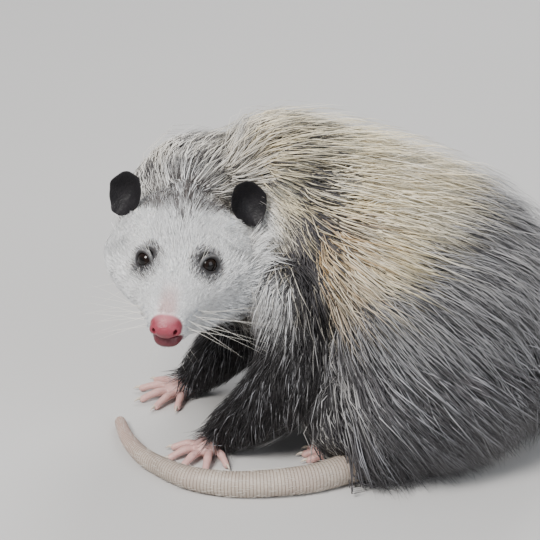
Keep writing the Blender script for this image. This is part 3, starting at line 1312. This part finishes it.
def sown(name, skin, seedling, density, seed, material):
    """A piece of copies of one small object, spread over a skin along its sweep, all in real mesh."""
    group = bpy.data.node_groups.new(name, "GeometryNodeTree")
    face = group.interface
    face.new_socket("Geometry", in_out="INPUT", socket_type="NodeSocketGeometry")
    wanted = {
        "Seedling": ("NodeSocketObject", seedling), "Density": ("NodeSocketFloat", density),
        "Seed": ("NodeSocketInt", seed), "Material": ("NodeSocketMaterial", material),
    }
    for key, (kind, _) in wanted.items():
        face.new_socket(key, in_out="INPUT", socket_type=kind)
    face.new_socket("Geometry", in_out="OUTPUT", socket_type="NodeSocketGeometry")
    new = group.nodes.new
    start, end = new("NodeGroupInput"), new("NodeGroupOutput")
    spread = new("GeometryNodeDistributePointsOnFaces")
    sweep = new("GeometryNodeInputNamedAttribute")
    sweep.data_type = "FLOAT_VECTOR"
    sweep.inputs["Name"].default_value = "sweep"
    aim = new("FunctionNodeAlignRotationToVector")
    aim.axis = "Z"
    size = new("FunctionNodeRandomValue")
    size.inputs[2].default_value = 0.6
    size.inputs[3].default_value = 1.3
    hair = new("GeometryNodeObjectInfo")
    plant = new("GeometryNodeInstanceOnPoints")
    real = new("GeometryNodeRealizeInstances")
    paint = new("GeometryNodeSetMaterial")
    link = group.links.new
    link(start.outputs["Geometry"], spread.inputs["Mesh"])
    link(start.outputs["Density"], spread.inputs["Density"])
    link(start.outputs["Seed"], spread.inputs["Seed"])
    link(start.outputs["Seed"], size.inputs["Seed"])
    link(start.outputs["Seedling"], hair.inputs["Object"])
    link(sweep.outputs["Attribute"], aim.inputs["Vector"])
    link(spread.outputs["Points"], plant.inputs["Points"])
    link(hair.outputs["Geometry"], plant.inputs["Instance"])
    link(aim.outputs["Rotation"], plant.inputs["Rotation"])
    link(size.outputs[1], plant.inputs["Scale"])
    link(plant.outputs["Instances"], real.inputs["Geometry"])
    link(real.outputs["Geometry"], paint.inputs["Geometry"])
    link(start.outputs["Material"], paint.inputs["Material"])
    link(paint.outputs["Geometry"], end.inputs["Geometry"])
    made = bpy.data.objects.new(name, skin.data.copy())
    bpy.context.scene.collection.objects.link(made)
    change = made.modifiers.new("sown", "NODES")
    change.node_group = group
    for item in face.items_tree:
        if item.item_type == "SOCKET" and item.in_out == "INPUT" and item.name in wanted:
            change[item.identifier] = wanted[item.name][1]
    finished(made)
    bpy.data.objects.remove(seedling)
    for vertex in made.data.vertices:
        vertex.co.z = max(vertex.co.z, BRISTLE_FLOOR * 0.001)
    return made


def make_claws(finish):
    """A pale curved claw at the end of each toe that has one."""
    shells = Shells()
    for palm_at, heading, _, toes, flip in paw_layouts():
        for rows, aim, nail in toes_of(palm_at, heading, toes, flip):
            if not nail:
                continue
            tip = np.array(rows[-1][:3]) + aim * rows[-1][3] * 0.55 + (0, 0, 0.6)
            rings = []
            for t in np.linspace(0, 0.85, 6):
                centre = tip + aim * nail * t + (0, 0, 0.5 * math.sin(t * 2.6) - 1.9 * t * t)
                girth = 1.25 * (1 - t) ** 0.8 + 0.12
                side = np.cross(aim, (0, 0, 1.0))
                rings.append([centre + side * girth * 0.7 * math.cos(a) + (0, 0, girth * math.sin(a))
                              for a in np.linspace(0, 2 * math.pi, 12, endpoint=False)])
            rings = [[(p[0], p[1], max(p[2], CLAW_FLOOR)) for p in ring] for ring in rings]
            shells.loft(rings, tip - aim * 1.0, tip + aim * nail + (0, 0, -1.75))
    return shells.smooth_piece("claws", finish)


def hair_line(shells, root, way, droop, length, girth):
    """One long curved hair as a closed, tapering, six-sided cone."""
    way = way / np.linalg.norm(way)
    rings, steps = [], 12
    for k in range(steps):
        t = k / steps
        centre = root + way * length * t + np.array(droop) * length * t * t
        ahead = way + 2 * t * np.array(droop)
        side = np.cross(ahead, (0.3, 0.2, 0.93))
        side /= np.linalg.norm(side)
        up = np.cross(side, ahead)
        up /= np.linalg.norm(up)
        thick = girth * (1 - t) ** 0.7
        rings.append([centre + (side * math.cos(a) + up * math.sin(a)) * thick
                      for a in np.linspace(0, 2 * math.pi, 6, endpoint=False)])
    end = root + way * length + np.array(droop) * length
    shells.loft(rings, root - way * 1.0, end)


def make_whiskers(finish, coat):
    """Long stiff hairs of the muzzle, brows, cheeks and chin."""
    draw = np.random.RandomState(11)
    shells = Shells()
    for ahead, left, up, side in WHISKER_ROWS:
        root, _ = coat.settle(np.array([from_head((ahead, left, up))]))
        back = (42 - ahead) / 18
        aside = side * draw.uniform(0.85, 1.1)
        way = np.array((0.10 - 0.75 * back, aside, -0.30 - 0.05 * (up + 5) + 0.1 * back))
        way = way + draw.normal(0, 0.07, 3)
        length = draw.uniform(34, 50) + 16 * back
        droop = HEAD_TURN @ np.array((-0.35, 0, -0.34)) * draw.uniform(0.5, 0.9)
        hair_line(shells, root[0], HEAD_TURN @ way, droop, length, 0.13)
    for side in (1, -1):
        for (ahead, left, up), way, length in OTHER_WHISKERS:
            root, _ = coat.settle(np.array([from_head((ahead, side * left, up))]))
            way = HEAD_TURN @ (np.array(way) * (1, side, 1) + draw.normal(0, 0.08, 3))
            hair_line(shells, root[0], way, HEAD_TURN @ np.array((-0.3, 0, -0.15)), length, 0.1)
    return shells.smooth_piece("whiskers", finish)


# Settings, operators and panel


class OpossumSettings(bpy.types.PropertyGroup):
    """What can be set before the pieces are made."""

    hair_width: FloatProperty(
        name="Hair width", description="Width of a long hair blade in millimetres", default=0.8,
        min=0.2)
    long_hairs: IntProperty(
        name="Long hairs", description="Blades in each long piece of coat", default=18500, min=100,
        max=19900)
    short_hairs: IntProperty(
        name="Short hairs", description="Blades in each short piece of coat", default=12000, min=100,
        max=19900)
    guard_hairs: IntProperty(
        name="Guard hairs", description="Long hairs that stand out of the coat", default=5200,
        min=100, max=12400)
    fringe_hairs: IntProperty(
        name="Fringe hairs", description="Blades that hang over the tail", default=12000, min=100,
        max=19900)
    bristle_density: FloatProperty(
        name="Tail hair density", description="Short tail hairs in a square metre", default=90000,
        min=0)
    sun_side: FloatVectorProperty(
        name="Key light place", description="Place of the main light", default=(-0.9, -1.2, 1.7),
        subtype="XYZ", unit="LENGTH", size=3)


# The coat's fields, made with the skin and read by later operators
shared = {}


def settings():
    """The scene's opossum settings."""
    return bpy.context.scene.opossum


def owned(piece, slot, *nodes):
    """The piece rides the body, takes a slot's finish and stands for the nodes."""
    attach(piece, "root")
    if nodes:
        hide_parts(*nodes)
    return piece


class OPOSSUM_OT_skin(bpy.types.Operator):
    """Make the skin with its markings"""

    bl_idname = "opossum.skin"
    bl_label = "Skin"

    def execute(self, context):
        skin = make_skin()
        unwrap_skin(skin)
        coat = Coat(skin)
        colour_points(skin.data, "tint", coat.skin_marks["skin"])
        value_points(skin.data, "bare", coat.skin_marks["bare"])
        shared["coat"] = coat
        nodes = ["head", "neck", "torso"]
        for limb in ("foreleg", "hindleg", "forepaw", "hindpaw"):
            nodes += [f"{limb}_{side}" for side in FLIPS]
        owned(skin, "body_coat", *nodes)
        return {"FINISHED"}


class OPOSSUM_OT_coat(bpy.types.Operator):
    """Grow the coat on the skin"""

    bl_idname = "opossum.coat"
    bl_label = "Coat"

    def execute(self, context):
        coat, chosen = shared["coat"], settings()
        weights, place = coat.weights, coat.points
        x, y, z = place.T
        ahead = to_head(place)[:, 0]
        furred = 1 - step(0.2, 0.6, coat.skin_marks["bare"])
        long_finish, short_finish = coat_finish("long_hair", 0.5), coat_finish("short_hair", 0.55)
        face = weights["head"] * furred * step(-26, -8, ahead)
        crown = weights["head"] * furred * step(4, -22, ahead)
        high = step(70, 110, z)
        flank = weights["torso"] * (1 - high) * step(4, 20, z)
        guard = (weights["torso"] + weights["thigh"] + weights["neck"] * 0.7) * step(30, 60, z)
        fringe = (weights["thigh"] + weights["torso"]) * step(100, 70, z) * step(8, 14, z)
        fringe = fringe * step(-6, -24, y) * step(-2, 18, x)
        long, short, width = chosen.long_hairs, chosen.short_hairs, chosen.hair_width
        grown = (
            ("coat_face_fine", short, face * step(10, 34, ahead), short_finish, "face_coat", 21,
             {"width": 0.62, "stretch": 0.8, "clump": 0.1}),
            ("coat_face", short, face * step(40, 14, ahead), short_finish, "face_coat", 22,
             {"width": 0.85, "clump": 0.15}),
            ("coat_crown", long, crown, long_finish, "face_coat", 23,
             {"width": width * 0.72, "clump": 0.3}),
            ("coat_neck", long, weights["neck"], long_finish, "body_coat", 24,
             {"width": width, "clump": 0.35}),
            ("coat_back", long, weights["torso"] * high, long_finish, "body_coat", 25,
             {"width": width, "clump": 0.4}),
            ("coat_flank", long, flank, long_finish, "body_coat", 26,
             {"width": width, "clump": 0.4}),
            ("coat_thigh", long, weights["thigh"] * step(3, 9, z), long_finish, "dark_coat", 27,
             {"width": width, "clump": 0.4}),
            ("coat_foreleg", long * 2 // 3, weights["arm"], long_finish, "dark_coat", 28,
             {"width": width * 0.8, "clump": 0.3}),
            ("coat_guard", chosen.guard_hairs, guard, long_finish, "body_coat", 29,
             {"rings": 3, "width": width * 0.62, "stretch": 1.2, "lift": 1.45, "clump": 0.25,
              "whitening": 0.9}),
            ("coat_fringe", chosen.fringe_hairs, fringe, long_finish, "dark_coat", 30,
             {"width": width, "stretch": 1.35, "clump": 0.35, "hang": 0.85, "flare": 0.3}),
        )
        for name, count, chance, finish, slot, seed, more in grown:
            owned(coat.grow(name, count, chance + 1e-9, finish, seed, **more), slot)
        return {"FINISHED"}


class OPOSSUM_OT_eyes(bpy.types.Operator):
    """Make the eyeballs"""

    bl_idname = "opossum.eyes"
    bl_label = "Eyes"

    def execute(self, context):
        finish = eye_finish()
        for side in (1, -1):
            made = make_eye(side, finish)
            owned(made, "eye", f"eye_{made.name.split('_')[-1]}")
        return {"FINISHED"}


class OPOSSUM_OT_ears(bpy.types.Operator):
    """Make the bare ears"""

    bl_idname = "opossum.ears"
    bl_label = "Ears"

    def execute(self, context):
        finish = ear_finish()
        for side in (1, -1):
            made = make_ear(side, finish)
            owned(made, "ear_skin", f"ear_{made.name.split('_')[-1]}")
        return {"FINISHED"}


class OPOSSUM_OT_tail(bpy.types.Operator):
    """Make the scaly tail and its short hairs"""

    bl_idname = "opossum.tail"
    bl_label = "Tail"

    def execute(self, context):
        tail = owned(make_tail(), "tail_skin", "tail_root", "tail_base", "tail_middle", "tail_tip")
        finish = plain_finish("tail_bristle", (0.62, 0.58, 0.52), 0.5)
        hairs = sown("tail_bristles", tail, bristle(), settings().bristle_density, 5, finish)
        owned(hairs, "tail_skin")
        return {"FINISHED"}


class OPOSSUM_OT_claws(bpy.types.Operator):
    """Make the claws"""

    bl_idname = "opossum.claws"
    bl_label = "Claws"

    def execute(self, context):
        owned(make_claws(plain_finish("claw_horn", (0.55, 0.47, 0.38), 0.32)), "claw")
        return {"FINISHED"}


class OPOSSUM_OT_whiskers(bpy.types.Operator):
    """Make the whiskers"""

    bl_idname = "opossum.whiskers"
    bl_label = "Whiskers"

    def execute(self, context):
        finish = plain_finish("whisker_white", (0.78, 0.75, 0.68), 0.35)
        owned(make_whiskers(finish, shared["coat"]), "face_coat")
        return {"FINISHED"}


class OPOSSUM_OT_stage(bpy.types.Operator):
    """Set the floor, lights and camera"""

    bl_idname = "opossum.stage"
    bl_label = "Stage"

    def execute(self, context):
        grid = [(x, y, -0.0002) for x in (-3, 3) for y in (-3, 3)]
        floor = mesh_piece("floor", grid, [(0, 2, 3), (0, 3, 1)],
                           plain_finish("floor_pale", (0.50, 0.49, 0.48), 0.75, 3, 0.03), smooth=False)
        world = bpy.data.worlds.new("studio")
        world.use_nodes = True
        sky = world.node_tree.nodes["Background"]
        sky.inputs["Color"].default_value = (0.80, 0.84, 0.90, 1)
        sky.inputs["Strength"].default_value = 0.5
        context.scene.world = world
        place_light("key", settings().sun_side, 80, 0.8, (1.0, 0.98, 0.95))
        place_light("fill", (1.4, -1.2, 1.0), 20, 1.4, (0.92, 0.96, 1.0))
        place_light("rim", (0.4, 1.5, 1.4), 24, 0.8, (1.0, 1.0, 1.0))
        place_camera(context.scene)
        return {"FINISHED"}


def place_light(name, place, power, size, colour):
    """An area light that looks at the middle of the body."""
    light = bpy.data.lights.new(name, "AREA")
    light.energy, light.size, light.color = power, size, colour
    lamp = bpy.data.objects.new(name, light)
    lamp.location = place
    aim = Vector((0, 0, 0.09)) - lamp.location
    lamp.rotation_euler = aim.to_track_quat("-Z", "Y").to_euler()
    bpy.context.scene.collection.objects.link(lamp)


def place_camera(scene):
    """The photo's framing, from in front of the face and above it."""
    middle = to_model((eye_centre(1) + eye_centre(-1)) / 2)
    rise = math.radians(CAMERA_RISE)
    height = math.sin(rise) * middle[1] + math.cos(rise) * middle[2] - VIEW_BELOW_EYES
    target = Vector((middle[0] + VIEW_BESIDE_EYES, 0, height / math.cos(rise)))
    camera = bpy.data.cameras.new("camera")
    camera.sensor_width = SENSOR_WIDTH
    camera.lens = SENSOR_WIDTH * CAMERA_REACH / VIEW_WIDTH
    view = bpy.data.objects.new("camera", camera)
    view.location = target + Vector((0, -math.cos(rise), math.sin(rise))) * CAMERA_REACH
    view.rotation_euler = (math.radians(90 - CAMERA_RISE), 0, 0)
    scene.collection.objects.link(view)
    scene.camera = view


class OPOSSUM_PT_panel(bpy.types.Panel):
    """Opossum pieces in the sidebar"""

    bl_label = "Opossum"
    bl_space_type = "VIEW_3D"
    bl_region_type = "UI"
    bl_category = "Opossum"

    def draw(self, context):
        for key in OpossumSettings.__annotations__:
            self.layout.prop(context.scene.opossum, key)
        for operator in OPERATORS:
            self.layout.operator(operator.bl_idname)


OPERATORS = (OPOSSUM_OT_skin, OPOSSUM_OT_coat, OPOSSUM_OT_eyes, OPOSSUM_OT_ears, OPOSSUM_OT_tail,
             OPOSSUM_OT_claws, OPOSSUM_OT_whiskers, OPOSSUM_OT_stage)


def register():
    for kind in (OpossumSettings, *OPERATORS, OPOSSUM_PT_panel):
        bpy.utils.register_class(kind)
    bpy.types.Scene.opossum = PointerProperty(type=OpossumSettings)


def unregister():
    del bpy.types.Scene.opossum
    for kind in reversed((OpossumSettings, *OPERATORS, OPOSSUM_PT_panel)):
        bpy.utils.unregister_class(kind)


def main():
    """Makes every piece and the stage."""
    register()
    bpy.ops.opossum.skin()
    bpy.ops.opossum.coat()
    bpy.ops.opossum.eyes()
    bpy.ops.opossum.ears()
    bpy.ops.opossum.tail()
    bpy.ops.opossum.claws()
    bpy.ops.opossum.whiskers()
    bpy.ops.opossum.stage()


if __name__ == "__main__":
    main()
